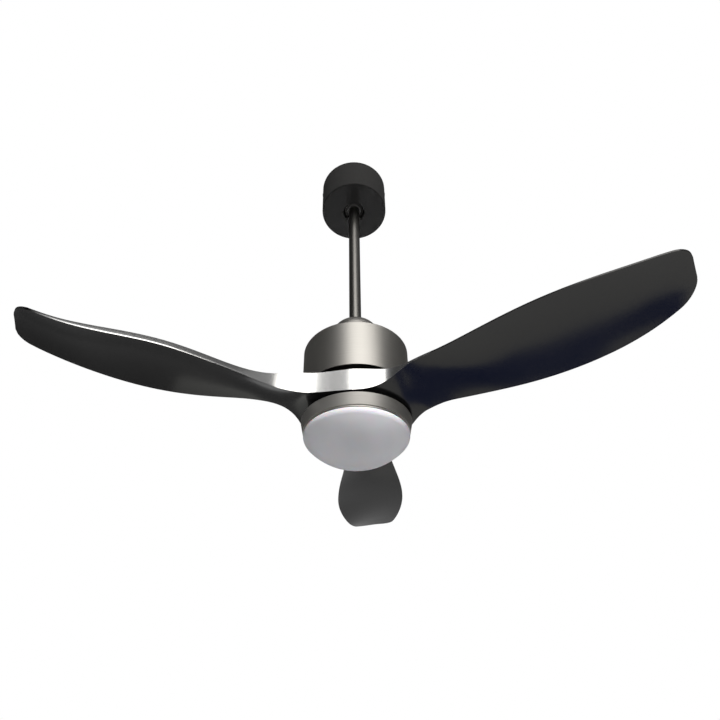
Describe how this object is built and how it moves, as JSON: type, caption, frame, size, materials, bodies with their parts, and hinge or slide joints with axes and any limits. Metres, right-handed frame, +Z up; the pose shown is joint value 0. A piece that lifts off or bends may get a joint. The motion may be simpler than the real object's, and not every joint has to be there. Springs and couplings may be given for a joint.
{
  "type": "ceiling fan with light",
  "caption": "Downrod ceiling fan: drum motor housing on a pipe below a round canopy, twisted propeller blades that meet in one hub, and a round light with a frosted domed lens.",
  "frame": {"origin": "on the ceiling, in the middle of the hanger bracket's top face, on the rod's axis", "axes": "+Z up into the ceiling; the ceiling box screws lie along X; the fan hangs towards -Z"},
  "size_m": [1.0806, 0.9924, 0.822],
  "materials": {
    "canopy_black": "satin black",
    "gunmetal": "brushed gunmetal",
    "dark_gunmetal": "dark brushed gunmetal",
    "blade_black": "satin gloss black",
    "lens_white": "frosted white",
    "steel": "zinc plated",
    "black_plastic": "moulded",
    "case_black": "dip coated",
    "cast_aluminium": "die cast",
    "laminations": "stamped sheets",
    "copper": "enamelled wire",
    "magnet": "sintered",
    "white_plastic": "moulded",
    "chip_yellow": "phosphor"
  },
  "bodies": {
    "mount": {"hanger_bracket": "case_black", "canopy": "canopy_black", "canopy_screws": "canopy_black", "receiver_box": "white_plastic"},
    "stem": {"hanger_ball": "black_plastic", "ball_pin": "steel", "ball_set_screw": "steel", "downrod": "dark_gunmetal", "motor_collar": "steel", "clevis_pin": "steel", "hairpin_clip": "steel", "collar_screws": "steel", "motor_housing": "gunmetal", "housing_screws": "steel", "motor_shaft": "steel", "stator_core": "laminations", "stator_windings": "copper", "light_plate": "steel", "plate_nuts": "steel", "light_ring": "gunmetal", "ring_screws": "steel", "light_driver": "white_plastic", "board_standoffs": "steel", "lamp_board": "cast_aluminium", "lamp_chips": "chip_yellow", "board_screws": "steel"},
    "cover": {"coupling_cover": "gunmetal"},
    "rotor": {"rotor_magnets": "magnet", "upper_bearing": "steel", "lower_bearing": "steel", "upper_rotor_case": "case_black", "lower_rotor_case": "case_black", "case_screws": "steel", "blade_1": "blade_black", "blade_2": "blade_black", "blade_3": "blade_black", "blade_screws": "steel"},
    "diffuser": {"lens": "lens_white"}
  },
  "joints": [
    {"name": "stem_swing", "type": "hinge", "parent": "mount", "child": "stem", "pos_m": [0, 0, -0.058], "axis": [1, 0, 0], "range_deg": [-15, 15]},
    {"name": "cover_lift", "type": "slide", "parent": "stem", "child": "cover", "axis": [0, 0, 1], "range_m": [0, 0.38]},
    {"name": "blade_spin", "type": "hinge", "parent": "stem", "child": "rotor", "pos_m": [0, 0, -0.684], "axis": [0, 0, 1], "continuous": true},
    {"name": "lens_twist", "type": "hinge", "parent": "stem", "child": "diffuser", "pos_m": [0, 0, -0.765], "axis": [0, 0, -1], "range_deg": [0, 27]}
  ]
}
